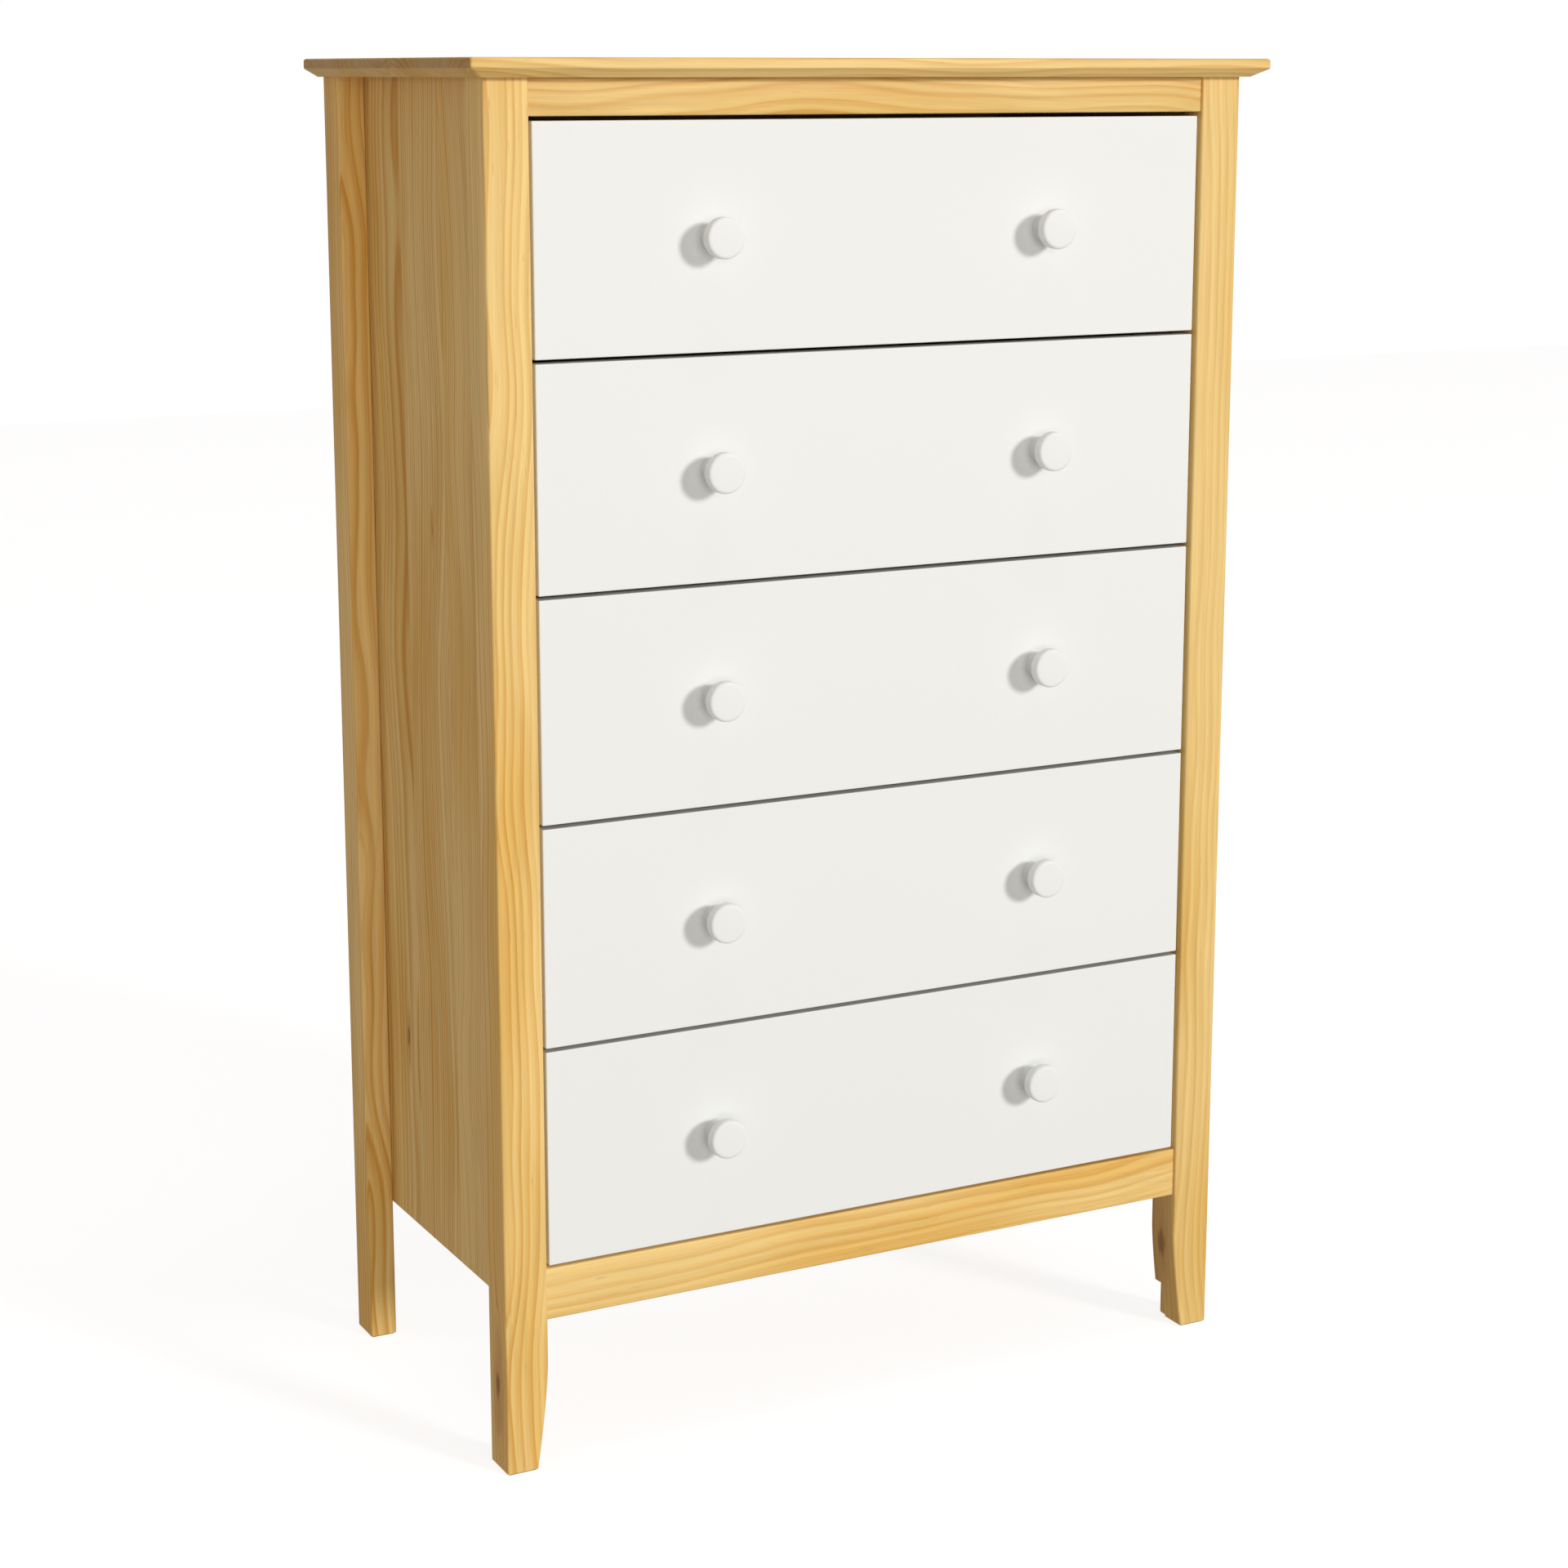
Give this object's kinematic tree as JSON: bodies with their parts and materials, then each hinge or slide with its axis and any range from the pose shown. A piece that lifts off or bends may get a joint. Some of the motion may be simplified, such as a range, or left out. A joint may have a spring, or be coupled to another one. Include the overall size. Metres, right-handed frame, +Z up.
{
  "type": "chest of drawers",
  "caption": "Tall chest of drawers: a lacquered pine case on tapered legs, with flush white drawer fronts, round white knobs and drawers that slide on wooden side runners.",
  "frame": {"origin": "on the floor, under the middle of the whole object's box, knobs included", "axes": "+X to the viewer's right when facing the drawers, +Y from the drawer fronts to the back, +Z up"},
  "size_m": [0.754, 0.391, 1.18],
  "materials": {
    "clear_pine": "clear satin lacquer over solid pine, honey coloured",
    "pale_pine": "bare planed pine",
    "beech": "bare planed beech, waxed",
    "plywood": "bare sanded plywood",
    "hardboard": "smooth-faced brown hardboard",
    "white_paint": "satin white paint over wood"
  },
  "bodies": {
    "case": {"top_panel": "clear_pine", "front_leg_left": "clear_pine", "front_leg_right": "clear_pine", "rear_leg_left": "clear_pine", "rear_leg_right": "clear_pine", "side_panel_left": "clear_pine", "side_panel_right": "clear_pine", "top_front_rail": "clear_pine", "bottom_front_rail": "clear_pine", "top_rear_rail": "pale_pine", "bottom_rear_rail": "pale_pine", "back_panel": "hardboard", "runner_1_left": "beech", "runner_1_right": "beech", "runner_2_left": "beech", "runner_2_right": "beech", "runner_3_left": "beech", "runner_3_right": "beech", "runner_4_left": "beech", "runner_4_right": "beech", "runner_5_left": "beech", "runner_5_right": "beech"},
    "drawer_1": {"drawer_1_front": "white_paint", "drawer_1_side_left": "pale_pine", "drawer_1_side_right": "pale_pine", "drawer_1_back": "pale_pine", "drawer_1_bottom": "plywood", "drawer_1_knob_left": "white_paint", "drawer_1_knob_right": "white_paint"},
    "drawer_2": {"drawer_2_front": "white_paint", "drawer_2_side_left": "pale_pine", "drawer_2_side_right": "pale_pine", "drawer_2_back": "pale_pine", "drawer_2_bottom": "plywood", "drawer_2_knob_left": "white_paint", "drawer_2_knob_right": "white_paint"},
    "drawer_3": {"drawer_3_front": "white_paint", "drawer_3_side_left": "pale_pine", "drawer_3_side_right": "pale_pine", "drawer_3_back": "pale_pine", "drawer_3_bottom": "plywood", "drawer_3_knob_left": "white_paint", "drawer_3_knob_right": "white_paint"},
    "drawer_4": {"drawer_4_front": "white_paint", "drawer_4_side_left": "pale_pine", "drawer_4_side_right": "pale_pine", "drawer_4_back": "pale_pine", "drawer_4_bottom": "plywood", "drawer_4_knob_left": "white_paint", "drawer_4_knob_right": "white_paint"},
    "drawer_5": {"drawer_5_front": "white_paint", "drawer_5_side_left": "pale_pine", "drawer_5_side_right": "pale_pine", "drawer_5_back": "pale_pine", "drawer_5_bottom": "plywood", "drawer_5_knob_left": "white_paint", "drawer_5_knob_right": "white_paint"}
  },
  "joints": [
    {"name": "drawer_1_slide", "type": "slide", "parent": "case", "child": "drawer_1", "axis": [0, -1, 0], "range_m": [0, 0.25]},
    {"name": "drawer_2_slide", "type": "slide", "parent": "case", "child": "drawer_2", "axis": [0, -1, 0], "range_m": [0, 0.25]},
    {"name": "drawer_3_slide", "type": "slide", "parent": "case", "child": "drawer_3", "axis": [0, -1, 0], "range_m": [0, 0.25]},
    {"name": "drawer_4_slide", "type": "slide", "parent": "case", "child": "drawer_4", "axis": [0, -1, 0], "range_m": [0, 0.25]},
    {"name": "drawer_5_slide", "type": "slide", "parent": "case", "child": "drawer_5", "axis": [0, -1, 0], "range_m": [0, 0.25]}
  ]
}
